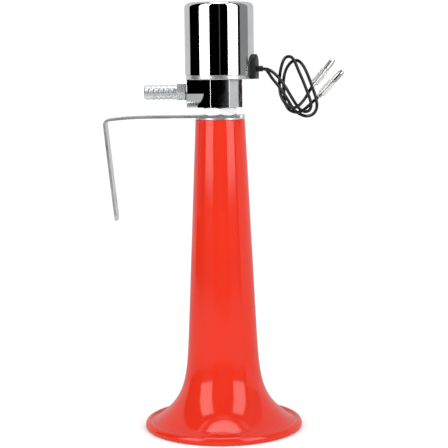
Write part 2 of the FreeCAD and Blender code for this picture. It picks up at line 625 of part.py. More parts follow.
def guide_tube():
    tube = ring(TUBE_INSIDE, TUBE_OUTSIDE, FLANGE_BOTTOM, TUBE_TOP)
    flange = ring(TUBE_INSIDE, TUBE_FLANGE_RADIUS, FLANGE_BOTTOM, BODY_TOP)
    return tube.fuse(flange).removeSplitter()


def tube_o_ring():
    z = FLANGE_BOTTOM - O_RING_SECTION
    return Part.makeTorus(O_RING_RADIUS, O_RING_SECTION, V(0, 0, z), Z_AXIS)


def pole_core():
    core = cylinder(TUBE_INSIDE - FIT_CLEARANCE, CORE_BOTTOM, TUBE_TOP)
    return core.fuse(cylinder(CORE_HEAD_RADIUS, TUBE_TOP, CAN_INSIDE_TOP)).removeSplitter()


def plunger():
    body = cylinder(PLUNGER_RADIUS, PLUNGER_BOTTOM, PLUNGER_TOP)
    body = body.makeChamfer(PLUNGER_CHAMFER, [e for e in body.Edges if len(e.Vertexes) == 1])
    pocket = SPRING_RADIUS + 2 * SPRING_WIRE + SPRING_CLEARANCE
    body = body.cut(cylinder(pocket, PLUNGER_TOP - SPRING_POCKET, PLUNGER_TOP + OVERLAP))
    seal_top = PLUNGER_BOTTOM - SEAL_PROUD + SEAL_THICKNESS
    return body.cut(cylinder(SEAL_RADIUS, PLUNGER_BOTTOM - OVERLAP, seal_top))


def plunger_seal():
    low = PLUNGER_BOTTOM - SEAL_PROUD
    return cylinder(SEAL_RADIUS - FIT_CLEARANCE, low, low + SEAL_THICKNESS)


def plunger_spring():
    low = PLUNGER_TOP - SPRING_POCKET + SPRING_WIRE
    high = CORE_BOTTOM - SPRING_WIRE
    pitch = (high - low) / SPRING_TURNS
    path = Part.makeHelix(pitch, high - low, SPRING_RADIUS)
    path.translate(V(0, 0, low))
    section = Part.Wire(Part.makeCircle(SPRING_WIRE, V(SPRING_RADIUS, 0, low), V(0, 1, pitch / 14)))
    return Part.Wire(path).makePipeShell([section], True, True)


def coil_bobbin():
    inside = TUBE_OUTSIDE + FIT_CLEARANCE
    bobbin = ring(inside, inside + BOBBIN_WALL, BOBBIN_BOTTOM, BOBBIN_TOP)
    for low in (BOBBIN_BOTTOM, BOBBIN_TOP - BOBBIN_FLANGE):
        bobbin = bobbin.fuse(ring(inside, BOBBIN_RADIUS, low, low + BOBBIN_FLANGE))
    return bobbin.removeSplitter()


def coil_winding():
    inside = TUBE_OUTSIDE + FIT_CLEARANCE + BOBBIN_WALL
    return ring(inside, WINDING_RADIUS, BOBBIN_BOTTOM + BOBBIN_FLANGE, BOBBIN_TOP - BOBBIN_FLANGE)


def coil_cushion():
    """Foam ring that holds the bobbin down against the base plate."""
    return ring(CORE_HEAD_RADIUS + CUSHION_INSET, BOBBIN_RADIUS - CUSHION_INSET, BOBBIN_TOP, CAN_INSIDE_TOP)


# ---- cable exit ----
def tombstone(width, top, bottom, x0, x1):
    half = width / 2
    shape = box(x0, x1, -half, half, bottom, top - half)
    arch = Part.makeCylinder(half, x1 - x0, V(x0, 0, top - half), X_AXIS)
    arch = arch.common(box(x0, x1, -half, half, top - half, top))
    return shape.fuse(arch).removeSplitter()


def cable_grommet():
    gap = FIT_CLEARANCE
    outside = tombstone(GROMMET_WIDTH, GROMMET_TOP, GROMMET_BOTTOM,
                        CAN_RADIUS - SLOT_CUT, NOSE_START)
    face_edges = [e for e in outside.Edges if abs(e.BoundBox.XMin - NOSE_START) < 1e-6
                  and e.BoundBox.XLength < 1e-6]
    outside = outside.makeFillet(GROMMET_ROUND, face_edges)
    outside = outside.cut(cylinder(CAN_RADIUS, GROMMET_BOTTOM - OVERLAP, GROMMET_TOP + OVERLAP))
    neck_bottom = BOBBIN_BOTTOM + 2 * gap
    neck = tombstone(SLOT_WIDTH - 2 * gap, SLOT_TOP - gap, neck_bottom,
                     CAN_INSIDE_RADIUS - OVERLAP, CAN_RADIUS + GROMMET_ROUND)
    flange_bottom = BOBBIN_BOTTOM + BOBBIN_FLANGE + GROMMET_LIFT
    inside = tombstone(GROMMET_WIDTH, GROMMET_TOP, flange_bottom,
                       CAN_INSIDE_RADIUS - GROMMET_INNER, CAN_RADIUS)
    inside = inside.common(cylinder(CAN_INSIDE_RADIUS, GROMMET_BOTTOM, GROMMET_TOP + OVERLAP))
    grommet = outside.fuse(neck).fuse(inside)
    lead = LEAD_RADIUS
    half = lead + NOSE_WALL
    nose = box(NOSE_START - OVERLAP, NOSE_END, -LEAD_SPREAD, LEAD_SPREAD, NOSE_Z - half, NOSE_Z + half)
    for y in (-LEAD_SPREAD, LEAD_SPREAD):
        start = V(NOSE_START - OVERLAP, y, NOSE_Z)
        nose = nose.fuse(Part.makeCylinder(half, NOSE_LENGTH + OVERLAP, start, X_AXIS))
    grommet = grommet.fuse(nose.removeSplitter())
    for y in (-LEAD_SPREAD, LEAD_SPREAD):
        hole = Part.makeCylinder(lead + LEAD_CLEARANCE, CAN_RADIUS, V(NOSE_END - LEAD_GRIP, y, NOSE_Z), X_AXIS)
        tail = Part.makeCylinder(TAIL_RADIUS + TAIL_CLEARANCE, NOSE_END - WINDING_RADIUS,
                                 V(WINDING_RADIUS, y, NOSE_Z), X_AXIS)
        grommet = grommet.cut(hole).cut(tail)
    return at_cable(grommet.removeSplitter())


def coil_tails():
    """The two ends of the winding, run out to the leads inside the grommet."""
    start = WINDING_RADIUS + FIT_CLEARANCE
    wires = []
    for y in (-LEAD_SPREAD, LEAD_SPREAD):
        length = NOSE_END - LEAD_GRIP - start
        wires.append(Part.makeCylinder(TAIL_RADIUS, length, V(start, y, NOSE_Z), X_AXIS))
    return at_cable(Part.makeCompound(wires))


def route(corners):
    """Straight runs joined by tangent arcs as large as the runs allow; also the arcs' radii."""
    places = [V(*c) for c in corners]
    edges, radii = [], []
    last = places[0]
    for before, corner, after in zip(places, places[1:], places[2:]):
        into, out = corner - before, after - corner
        cut_back = CORNER_SHARE * min(into.Length, out.Length)
        into.normalize()
        out.normalize()
        turn = into.getAngle(out)
        start, end = corner - into * cut_back, corner + out * cut_back
        radius = cut_back / math.tan(turn / 2)
        inwards = out - into
        inwards.normalize()
        middle = corner + inwards * (radius / math.cos(turn / 2) - radius)
        edges.append(Part.LineSegment(last, start).toShape())
        edges.append(Part.Arc(start, middle, end).toShape())
        radii.append(radius)
        last = end
    edges.append(Part.LineSegment(last, places[-1]).toShape())
    return Part.Wire(edges), radii


def lead(name, corners, side):
    """A round lead along its route, from inside the grommet's nose to its terminal."""
    start = cable_point(NOSE_END - LEAD_GRIP, side * LEAD_SPREAD, NOSE_Z)
    straight = cable_point(NOSE_END + LEAD_STRAIGHT, side * LEAD_SPREAD, NOSE_Z)
    path, radii = route([start, straight] + corners)
    direction = V(*straight) - V(*start)
    section = Part.Wire(Part.makeCircle(LEAD_RADIUS, V(*start), direction))
    tube = path.makePipeShell([section], True, False)
    expected = math.pi * LEAD_RADIUS ** 2 * path.Length
    print("%s: length %.1f mm, volume %.1f of %.1f mm3" % (name, path.Length, tube.Volume, expected))
    print("  bend radii", " ".join("%.1f" % r for r in radii))
    if abs(tube.Volume - expected) > VOLUME_TOLERANCE * expected:
        raise RuntimeError("the lead's volume doesn't match its length: " + name)
    return tube


def on_lead_end(shape, corners, direction):
    """Place a shape made on the Z axis at the end of a lead, pointing along direction."""
    placed = shape.copy()
    turn = FreeCAD.Rotation(Z_AXIS, V(*direction))
    placed.Placement = FreeCAD.Placement(V(*corners[-1]), turn)
    return placed


def bullet_terminal():
    bullet_start = TERMINAL_LENGTH - BULLET_LENGTH
    tip = TERMINAL_LENGTH
    collar = BARREL_RADIUS + COLLAR_RISE
    terminal = turned_part([
        (0, BARREL_START), (BARREL_RADIUS, BARREL_START), (BARREL_RADIUS, bullet_start - COLLAR_BACK),
        (collar, bullet_start - COLLAR_BACK + COLLAR_EDGE), (collar, bullet_start - COLLAR_EDGE),
        (BULLET_NECK, bullet_start), (BULLET_NECK, bullet_start + NECK_LENGTH),
        (BULLET_RADIUS, BULLET_LAND_START), (BULLET_RADIUS, BULLET_LAND_END),
        (BULLET_SHOULDER_RADIUS, tip - NOSE_TAPER), (BULLET_TIP_RADIUS, tip), (0, tip),
    ])
    reach = BULLET_RADIUS + OVERLAP
    slit = box(-SLIT_WIDTH / 2, SLIT_WIDTH / 2, -reach, reach,
               BULLET_LAND_START + SLIT_START, BULLET_LAND_END - SLIT_END)
    slit = slit.cut(cylinder(BULLET_BORE, 0, tip))
    crimps = [ring(BARREL_RADIUS - CRIMP_DEPTH, BARREL_RADIUS + OVERLAP, z, z + CRIMP_WIDTH)
              for z in CRIMP_PLACES]
    terminal = terminal.cut(slit)
    for crimp in crimps:
        terminal = terminal.cut(crimp)
    return terminal


def terminal_sleeve():
    """Clear tube over the crimped barrel."""
    inside = SLEEVE_RADIUS - SLEEVE_WALL
    return ring(inside, SLEEVE_RADIUS, SLEEVE_START, SLEEVE_START + SLEEVE_LENGTH)


# ---- reed ----
def reed_block():
    """Brass block screwed into the stem, with a flat face that the reed beats over a slot."""
    top = STEM_BOTTOM + REED_BORE_DEPTH - HOLE_EXTRA
    low = STEM_BOTTOM - REED_BLOCK_DROP
    wide = 2 * REED_BORE
    block = cylinder(REED_BORE - FIT_CLEARANCE, low, top)
    block = block.cut(box(-wide, wide, -wide, REED_FACE_Y, low - OVERLAP, STEM_BOTTOM - REED_FACE_TOP))
    airway_bottom = low + REED_AIRWAY_FLOOR
    block = block.cut(cylinder(REED_AIRWAY, airway_bottom, top + OVERLAP, 0, REED_AIRWAY_OFFSET))
    half = REED_WIDTH / 2 - REED_SLOT_LAND
    slot_top = REED_CLAMP_TOP - REED_CLAMP_HEIGHT - REED_SLOT_LAND
    block = block.cut(box(-half, half, -wide, REED_AIRWAY_OFFSET, airway_bottom, slot_top))
    start = V(0, REED_FACE_Y - OVERLAP, REED_CLAMP_TOP - REED_CLAMP_HEIGHT / 2)
    return block.cut(Part.makeCylinder(REED_SCREW_RADIUS, OVERLAP + REED_SCREW_HOLE_DEPTH, start, Y_AXIS))


def reed_clamp():
    """Small brass pad that the reed's root is held with, and its screw."""
    half = REED_WIDTH / 2
    low = REED_CLAMP_TOP - REED_CLAMP_HEIGHT
    front = REED_FRONT_Y - REED_CLAMP_THICKNESS
    pad = box(-half, half, front, REED_FRONT_Y, low, REED_CLAMP_TOP)
    shim = box(-half, half, REED_FRONT_Y, REED_FACE_Y, REED_CLAMP_TOP - REED_SHIM, REED_CLAMP_TOP)
    middle = (low + REED_CLAMP_TOP) / 2
    head = Part.makeCylinder(REED_SCREW_HEAD, REED_SCREW_HEAD_HEIGHT,
                             V(0, front - REED_SCREW_HEAD_HEIGHT, middle), Y_AXIS)
    return pad.fuse(shim).fuse(head).removeSplitter()


def reed_tongue():
    """Spring-bronze tongue, hinged just below the clamp."""
    half = REED_WIDTH / 2 - REED_SIDE_GAP
    low = REED_TOP - REED_LENGTH + REED_CLAMP_HEIGHT
    return box(-half, half, REED_FRONT_Y - REED_THICKNESS, REED_FRONT_Y, low, REED_TOP)


def build():
    os.makedirs("parts", exist_ok=True)
    terminal, sleeve = bullet_terminal(), terminal_sleeve()
    pieces = {
        "trumpet": trumpet(),
        "horn_washer": horn_washer(),
        "mounting_bracket": mounting_bracket(),
        "lock_nut": lock_nut(),
        "inner_nut": inner_nut(),
        "valve_body": valve_body(),
        "nipple_washer": nipple_washer(),
        "hose_nipple": hose_nipple(),
        "base_plate": base_plate(),
        "plate_screws": plate_screws(),
        "solenoid_can": solenoid_can(),
        "guide_tube": guide_tube(),
        "tube_o_ring": tube_o_ring(),
        "pole_core": pole_core(),
        "plunger": plunger(),
        "plunger_seal": plunger_seal(),
        "plunger_spring": plunger_spring(),
        "coil_bobbin": coil_bobbin(),
        "coil_winding": coil_winding(),
        "coil_cushion": coil_cushion(),
        "coil_tails": coil_tails(),
        "cable_grommet": cable_grommet(),
        "lead_a": lead("lead_a", LEAD_A, -1),
        "lead_b": lead("lead_b", LEAD_B, 1),
        "terminal_a": on_lead_end(terminal, LEAD_A, TERMINAL_A_DIRECTION),
        "terminal_b": on_lead_end(terminal, LEAD_B, TERMINAL_B_DIRECTION),
        "terminal_sleeve_a": on_lead_end(sleeve, LEAD_A, TERMINAL_A_DIRECTION),
        "terminal_sleeve_b": on_lead_end(sleeve, LEAD_B, TERMINAL_B_DIRECTION),
        "reed_block": reed_block(),
        "reed_clamp": reed_clamp(),
        "reed_tongue": reed_tongue(),
    }
    for name, shape in pieces.items():
        save(name, shape)


build()
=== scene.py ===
"""Looks for the trumpet air horn with a solenoid valve.

Metres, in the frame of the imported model: +Z runs up the horn's axis, -Y is the front, +X is the
cable side, -X the hose and bracket side. The horn stands on its bell at z = 0.
"""
import json
import math
from collections import namedtuple

import bmesh
import bpy
from bpy.props import FloatProperty, FloatVectorProperty, IntProperty, PointerProperty
from bpy.types import Operator, Panel, PropertyGroup
from mathutils import Matrix, Vector


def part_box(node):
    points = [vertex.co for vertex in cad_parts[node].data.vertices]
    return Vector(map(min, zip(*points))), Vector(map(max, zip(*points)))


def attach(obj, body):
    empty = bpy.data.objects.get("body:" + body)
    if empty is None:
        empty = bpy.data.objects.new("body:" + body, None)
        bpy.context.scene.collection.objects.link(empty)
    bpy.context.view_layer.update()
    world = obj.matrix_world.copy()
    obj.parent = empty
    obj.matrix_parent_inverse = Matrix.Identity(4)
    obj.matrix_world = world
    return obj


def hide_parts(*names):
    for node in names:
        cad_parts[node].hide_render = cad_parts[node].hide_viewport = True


bl_info = {
    "name": "Trumpet air horn",
    "version": (1, 0, 0),
    "blender": (4, 5, 0),
    "location": "3D View > Sidebar > Air Horn",
    "description": "Builds the finishes, leads and studio of a trumpet air horn",
    "category": "Object",
}

bpy.ops.wm.read_factory_settings(use_empty=True)
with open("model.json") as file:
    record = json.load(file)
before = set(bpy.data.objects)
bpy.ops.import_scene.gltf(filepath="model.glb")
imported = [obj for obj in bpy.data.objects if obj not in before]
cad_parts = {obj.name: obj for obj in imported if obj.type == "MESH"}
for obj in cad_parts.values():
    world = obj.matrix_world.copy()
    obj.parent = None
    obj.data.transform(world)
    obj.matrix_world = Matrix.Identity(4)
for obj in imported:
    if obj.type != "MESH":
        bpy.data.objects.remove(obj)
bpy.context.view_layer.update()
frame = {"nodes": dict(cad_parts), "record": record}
MM = 0.001

TRUMPET_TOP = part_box("trumpet")[1].z
STEM_RADIUS = 7.0 * MM
STEM_CLEARANCE = 0.05 * MM

# Small sizes of the trumpet's section: rounding of the top edge and under the rim, the height
# below which the walls bend to meet the lip, and how far under the lip's ridge the flare meets it.
TOP_EDGE = 0.8 * MM
SOLE_EDGE = 1.4 * MM
BLEND_HEIGHT = 7.0 * MM
FLARE_FOOT_DROP = 0.7 * MM
# The lip's curve: a point on its slope and its ridge, as parts of its width, and its shoulder.
LIP_SLOPE, LIP_SLOPE_DROP = 0.225, 0.22 * MM
LIP_RIDGE = 0.45
LIP_SHOULDER_IN, LIP_SHOULDER_UP = 0.5 * MM, 0.74
# The sole's inner edge from the lip's inside, and two points from that edge up to the inner wall.
FOOT_OUT = 0.2 * MM
FOOT_BEND = (0.99 * MM, 0.35 * MM)
INNER_FOOT = (1.6 * MM, 1.3 * MM)
# Rings of points: round an edge, along the lip, under the rim, down the outside, up the inside.
EDGE_STEPS, LIP_STEPS, SOLE_STEPS, OUTSIDE_STEPS, INSIDE_STEPS = 5, 10, 6, 90, 80
SLOPE_STEP = 0.01 * MM
DIAGONAL = math.sqrt(0.5)
CREASE = math.radians(35)

# Leads: the straight start out of the grommet's nose, then the listed corners, in millimetres.
LEAD_A = [
    (24.27, -6.30, 230.96), (28.38, -7.18, 230.96),
    (31.4, -7.6, 230.2), (34.9, -6.9, 227.6), (38.8, -7.0, 223.3), (41.8, -6.6, 218.7),
    (44.6, -5.1, 213.8), (47.5, -3.7, 209.2), (50.2, -2.5, 205.3), (53.7, -2.7, 203.1),
    (56.8, -5.0, 204.3), (57.7, -6.8, 207.9), (56.6, -6.9, 212.1), (54.5, -6.9, 217.6),
    (52.3, -6.9, 223.4), (49.9, -6.9, 228.8), (47.9, -6.9, 233.9), (45.9, -6.8, 237.7),
    (43.3, -6.8, 238.6), (40.7, -6.5, 237.2), (39.2, -5.4, 233.3), (38.2, -4.3, 228.8),
    (37.7, -4.1, 223.9), (37.7, -4.1, 219.2), (38.2, -4.5, 214.4), (40.0, -6.2, 210.3),
    (43.3, -6.7, 207.1), (46.9, -6.5, 205.9), (50.3, -5.8, 207.8), (53.3, -4.3, 211.1),
    (55.8, -3.9, 215.2), (58.4, -3.7, 219.6),
]
LEAD_B = [
    (24.74, -4.11, 230.96), (28.84, -4.99, 230.96),
    (30.6, -5.7, 228.7), (32.9, -6.5, 224.9), (36.1, -7.0, 221.1), (38.9, -6.9, 217.3),
    (41.6, -5.6, 213.2), (44.0, -4.2, 209.3), (46.5, -3.0, 205.1), (50.0, -2.3, 202.1),
    (54.7, -3.0, 200.3), (59.2, -5.2, 201.8), (61.3, -6.8, 206.0), (60.9, -6.9, 211.1),
    (59.0, -6.9, 217.0), (57.0, -6.9, 222.6), (54.9, -6.5, 228.2), (52.7, -5.4, 232.7),
    (50.0, -4.3, 235.7), (47.1, -4.0, 236.1), (44.5, -4.2, 234.2), (42.3, -4.3, 231.3),
    (40.9, -4.2, 227.5), (40.2, -3.9, 222.8), (40.4, -2.6, 218.3), (40.8, -2.2, 213.8),
    (41.0, -3.3, 209.0), (43.3, -4.9, 204.9), (47.1, -5.3, 203.2), (50.6, -5.1, 203.3),
    (53.9, -4.6, 205.4), (56.9, -4.1, 208.2), (62.2, -4.2, 212.7),
]
CURVE_STEPS, BEVEL_STEPS = 12, 6
INSULATION_SHADE = 3


# ---- sizes and colours a user would change ----
class TrumpetSettings(PropertyGroup):
    """Shape and colour of the trumpet."""

    height: FloatProperty(
        name="Height", description="From the mouth to the top face",
        default=TRUMPET_TOP, unit="LENGTH")
    mouth_radius: FloatProperty(
        name="Mouth radius", description="To the outside of the lip",
        default=50.8 * MM, unit="LENGTH")
    top_radius: FloatProperty(
        name="Top radius", description="Outside, at the top face",
        default=15.75 * MM, unit="LENGTH")
    cone_slope: FloatProperty(
        name="Cone slope", description="Radius gained per length down the slow cone",
        default=0.0456)
    flare_depth: FloatProperty(
        name="Flare depth", description="Height over which the flare dies away",
        default=14.2 * MM, unit="LENGTH")
    flare_power: FloatProperty(
        name="Flare power", description="How suddenly the flare opens", default=1.25)
    wall: FloatProperty(
        name="Wall", description="Wall of the trumpet", default=2.0 * MM, unit="LENGTH")
    top_wall: FloatProperty(
        name="Top wall", description="Thickness of the top face", default=3.0 * MM, unit="LENGTH")
    lip_width: FloatProperty(
        name="Lip width", description="Width of the rolled lip", default=4.4 * MM, unit="LENGTH")
    lip_height: FloatProperty(
        name="Lip height", description="Height of the lip's ridge", default=5.2 * MM, unit="LENGTH")
    sides: IntProperty(name="Sides", description="Faces round the trumpet", default=224, min=48)
    colour: FloatVectorProperty(
        name="Plastic", description="Through colour of the plastic", subtype="COLOR",
        size=3, min=0, max=1, default=(0.66, 0.026, 0.009))
    shade: FloatVectorProperty(
        name="Plastic, deeper", description="Colour where the moulding is a little deeper",
        subtype="COLOR", size=3, min=0, max=1, default=(0.60, 0.019, 0.006))


class LeadSettings(PropertyGroup):
    """Size and colour of the two leads."""

    diameter: FloatProperty(
        name="Diameter", description="Over the insulation", default=2.0 * MM, unit="LENGTH")
    colour: FloatVectorProperty(
        name="Insulation", description="Colour of the insulation", subtype="COLOR",
        size=3, min=0, max=1, default=(0.003, 0.003, 0.003))


class StudioSettings(PropertyGroup):
    """Camera, floor and lights."""

    camera_distance: FloatProperty(
        name="Camera distance", description="In front of the horn's axis",
        default=0.870, unit="LENGTH")
    camera_height: FloatProperty(
        name="Camera height", description="Above the floor", default=0.2317, unit="LENGTH")
    camera_side: FloatProperty(
        name="Camera side", description="Towards the cable side", default=0.0016, unit="LENGTH")
    camera_tilt: FloatProperty(
        name="Camera tilt", description="Downwards", default=math.radians(6.53), subtype="ANGLE")
    camera_roll: FloatProperty(
        name="Camera roll", description="About the line of sight",
        default=math.radians(-0.7), subtype="ANGLE")
    lens: FloatProperty(
        name="Lens", description="Focal length on a 36 mm sensor", default=109.6)
    card_distance: FloatProperty(
        name="Card distance", description="From the axis to the reflector cards",
        default=1.1, unit="LENGTH")
    sky: FloatProperty(
        name="Surround", description="Brightness of the white surround", default=1.06, min=0)
    key: FloatProperty(
        name="Key power", description="Power of each front lamp", default=3.0, min=0)
    floor: FloatVectorProperty(
        name="Floor", description="Colour of the floor", subtype="COLOR",
        size=3, min=0, max=1, default=(0.96, 0.96, 0.96))


# ---- shader groups shared by the finishes ----
MARKS_GROUP = "Handling marks"
GRAIN_GROUP = "Surface grain"

# What a Mix node mixes, and its sockets: factor, first, second, result.
MIX_SOCKETS = {"FLOAT": (0, 2, 3, 0), "RGBA": (0, 6, 7, 2)}
GROUP_OUTPUTS = [("Color", "NodeSocketColor"), ("Roughness", "NodeSocketFloat"),
                 ("Height", "NodeSocketFloat")]


def new_group(name, inputs, outputs):
    """An empty shader group with named sockets, and its input and output nodes."""
    group = bpy.data.node_groups.new(name, "ShaderNodeTree")
    for label, kind, value in inputs:
        socket = group.interface.new_socket(name=label, in_out="INPUT", socket_type=kind)
        socket.default_value = value
    for label, kind in outputs:
        group.interface.new_socket(name=label, in_out="OUTPUT", socket_type=kind)
    return group, group.nodes.new("NodeGroupInput"), group.nodes.new("NodeGroupOutput")


def noise(tree, place, scale, detail, roughness):
    """A noise texture over the object's own coordinates; scale is a socket."""
    node = tree.nodes.new("ShaderNodeTexNoise")
    node.inputs["Detail"].default_value = detail
    node.inputs["Roughness"].default_value = roughness
    tree.links.new(place, node.inputs["Vector"])
    tree.links.new(scale, node.inputs["Scale"])
    return node.outputs["Fac"]


def remap(tree, value, low, high):
    """Stretches a value so that low to high becomes 0 to 1."""
    node = tree.nodes.new("ShaderNodeMapRange")
    tree.links.new(value, node.inputs["Value"])
    node.inputs["From Min"].default_value = low
    node.inputs["From Max"].default_value = high
    return node.outputs["Result"]


def combine(tree, operation, first, second):
    """A Math node; each side is a socket or a number."""
    node = tree.nodes.new("ShaderNodeMath")
    node.operation = operation
    for socket, side in zip(node.inputs, (first, second)):
        if isinstance(side, (int, float)):
            socket.default_value = side
        else:
            tree.links.new(side, socket)
    return node.outputs["Value"]


def put_out_mix(group, given, result, mask, first, second):
    """Mixes the group's two colours and two roughnesses by the mask, and puts both out."""
    for output, kind in (("Color", "RGBA"), ("Roughness", "FLOAT")):
        ending = "" if output == "Color" else " " + output
        node = group.nodes.new("ShaderNodeMix")
        node.data_type = kind
        factor, low, high, mixed = MIX_SOCKETS[kind]
        group.links.new(mask, node.inputs[factor])
        group.links.new(given.outputs[first + ending], node.inputs[low])
        group.links.new(given.outputs[second + ending], node.inputs[high])
        group.links.new(node.outputs[mixed], result.inputs[output])


def stretched(tree, place, stretch):
    """Coordinates squeezed along one axis, so that a texture runs in streaks."""
    node = tree.nodes.new("ShaderNodeMapping")
    node.inputs["Scale"].default_value = stretch
    tree.links.new(place, node.inputs["Vector"])
    return node.outputs["Vector"]


def handling_marks():
    """Smudges and fine hairline scratches: colour, roughness and height."""
    group, given, result = new_group(
        MARKS_GROUP,
        [("Clean", "NodeSocketColor", (1, 1, 1, 1)), ("Marked", "NodeSocketColor", (1, 1, 1, 1)),
         ("Clean Roughness", "NodeSocketFloat", 0.1), ("Marked Roughness", "NodeSocketFloat", 0.3),
         ("Smudge Scale", "NodeSocketFloat", 60.0), ("Scratch Scale", "NodeSocketFloat", 900.0)],
        GROUP_OUTPUTS)
    smudge_weight, scratch_weight, smudge_height, streak = 0.6, 0.8, 0.25, 0.06
    place = group.nodes.new("ShaderNodeTexCoord").outputs["Object"]
    blots = noise(group, place, given.outputs["Smudge Scale"], detail=4.0, roughness=0.55)
    smudge = remap(group, blots, 0.42, 0.72)
    streaks = stretched(group, place, (1.0, 1.0, streak))
    hair = noise(group, streaks, given.outputs["Scratch Scale"], detail=2.0, roughness=0.6)
    scratch = remap(group, hair, 0.66, 0.74)
    mask = combine(group, "MAXIMUM", combine(group, "MULTIPLY", smudge, smudge_weight),
                   combine(group, "MULTIPLY", scratch, scratch_weight))
    put_out_mix(group, given, result, mask, "Clean", "Marked")
    raised = combine(group, "MULTIPLY", smudge, smudge_height)
    height = combine(group, "SUBTRACT", raised, scratch)
    group.links.new(height, result.inputs["Height"])


def surface_grain():
    """Grain of a cast, plated or moulded surface: colour, roughness and height."""
    group, given, result = new_group(
        GRAIN_GROUP,
        [("Low", "NodeSocketColor", (0, 0, 0, 1)), ("High", "NodeSocketColor", (1, 1, 1, 1)),
         ("Low Roughness", "NodeSocketFloat", 0.2), ("High Roughness", "NodeSocketFloat", 0.4),
         ("Grain Scale", "NodeSocketFloat", 800.0), ("Patch Scale", "NodeSocketFloat", 90.0)],
        GROUP_OUTPUTS)
    patch_weight, grain_weight = 0.65, 0.35
    place = group.nodes.new("ShaderNodeTexCoord").outputs["Object"]
    grain = noise(group, place, given.outputs["Grain Scale"], detail=5.0, roughness=0.6)
    clouds = noise(group, place, given.outputs["Patch Scale"], detail=3.0, roughness=0.5)
    patch = remap(group, clouds, 0.35, 0.68)
    mask = combine(group, "ADD", combine(group, "MULTIPLY", patch, patch_weight),
                   combine(group, "MULTIPLY", grain, grain_weight))
    put_out_mix(group, given, result, mask, "Low", "High")
    group.links.new(grain, result.inputs["Height"])


# Bump is the depth of the pattern in millimetres; roughness and scale are (smooth, rough) and
# (coarse, fine). A finish without colours is given them by its piece.
Finish = namedtuple("Finish", "group first second roughness metallic scale bump")
BUMP_STRENGTH = 0.6
FINISHES = {
    "red_plastic": Finish(
        MARKS_GROUP, None, None,
        (0.10, 0.17), 0.0, (22.0, 700.0), 0.004),
    "chrome_plate": Finish(
        MARKS_GROUP, (0.86, 0.87, 0.88), (0.72, 0.73, 0.75),
        (0.03, 0.10), 1.0, (60.0, 1500.0), 0.002),
    "zinc_plated_steel": Finish(
        GRAIN_GROUP, (0.70, 0.72, 0.72), (0.90, 0.91, 0.90),
        (0.20, 0.38), 0.86, (70.0, 900.0), 0.012),
    "nickel_plated_brass": Finish(
        MARKS_GROUP, (0.88, 0.90, 0.91), (0.72, 0.75, 0.76),
        (0.26, 0.38), 0.9, (90.0, 1300.0), 0.004),
    "tinned_brass": Finish(
        GRAIN_GROUP, (0.66, 0.66, 0.63), (0.90, 0.90, 0.87),
        (0.14, 0.30), 1.0, (160.0, 1400.0), 0.008),
    "brass": Finish(
        MARKS_GROUP, (0.72, 0.50, 0.20), (0.50, 0.33, 0.13),
        (0.18, 0.36), 1.0, (90.0, 1200.0), 0.006),
    "reed_bronze": Finish(
        MARKS_GROUP, (0.68, 0.42, 0.20), (0.50, 0.28, 0.12),
        (0.16, 0.30), 1.0, (120.0, 1500.0), 0.004),
    "bare_steel": Finish(
        GRAIN_GROUP, (0.44, 0.44, 0.45), (0.62, 0.62, 0.63),
        (0.24, 0.40), 1.0, (100.0, 1100.0), 0.008),
    "spring_steel": Finish(
        GRAIN_GROUP, (0.30, 0.30, 0.32), (0.48, 0.48, 0.50),
        (0.22, 0.36), 1.0, (200.0, 1600.0), 0.004),
    "enamelled_copper": Finish(
        MARKS_GROUP, (0.66, 0.24, 0.09), (0.48, 0.15, 0.05),
        (0.20, 0.34), 0.85, (90.0, 1600.0), 0.010),
    "black_rubber": Finish(
        GRAIN_GROUP, (0.004, 0.004, 0.004), (0.012, 0.012, 0.012),
        (0.36, 0.52), 0.0, (80.0, 1500.0), 0.025),
    "lead_insulation": Finish(
        GRAIN_GROUP, None, None,
        (0.10, 0.16), 0.0, (120.0, 1800.0), 0.006),
    "foam": Finish(
        GRAIN_GROUP, (0.05, 0.05, 0.055), (0.12, 0.12, 0.125),
        (0.80, 0.95), 0.0, (120.0, 900.0), 0.150),
    "nylon": Finish(
        GRAIN_GROUP, (0.70, 0.66, 0.56), (0.82, 0.79, 0.70),
        (0.34, 0.46), 0.0, (70.0, 900.0), 0.015),
    "fibre": Finish(
        GRAIN_GROUP, (0.02, 0.02, 0.02), (0.06, 0.06, 0.06),
        (0.50, 0.66), 0.0, (90.0, 1100.0), 0.030),
    "clear_vinyl": Finish(
        MARKS_GROUP, (0.98, 0.985, 0.98), (0.93, 0.94, 0.92),
        (0.02, 0.06), 0.0, (120.0, 700.0), 0.0005),
}

# Sockets of the shader that a finish sets besides.
SHADER_EXTRAS = {
    "clear_vinyl": {"Transmission Weight": 0.9, "IOR": 1.3},
    "lead_insulation": {"IOR": 1.6},
    "black_rubber": {"Specular IOR Level": 0.3},
}


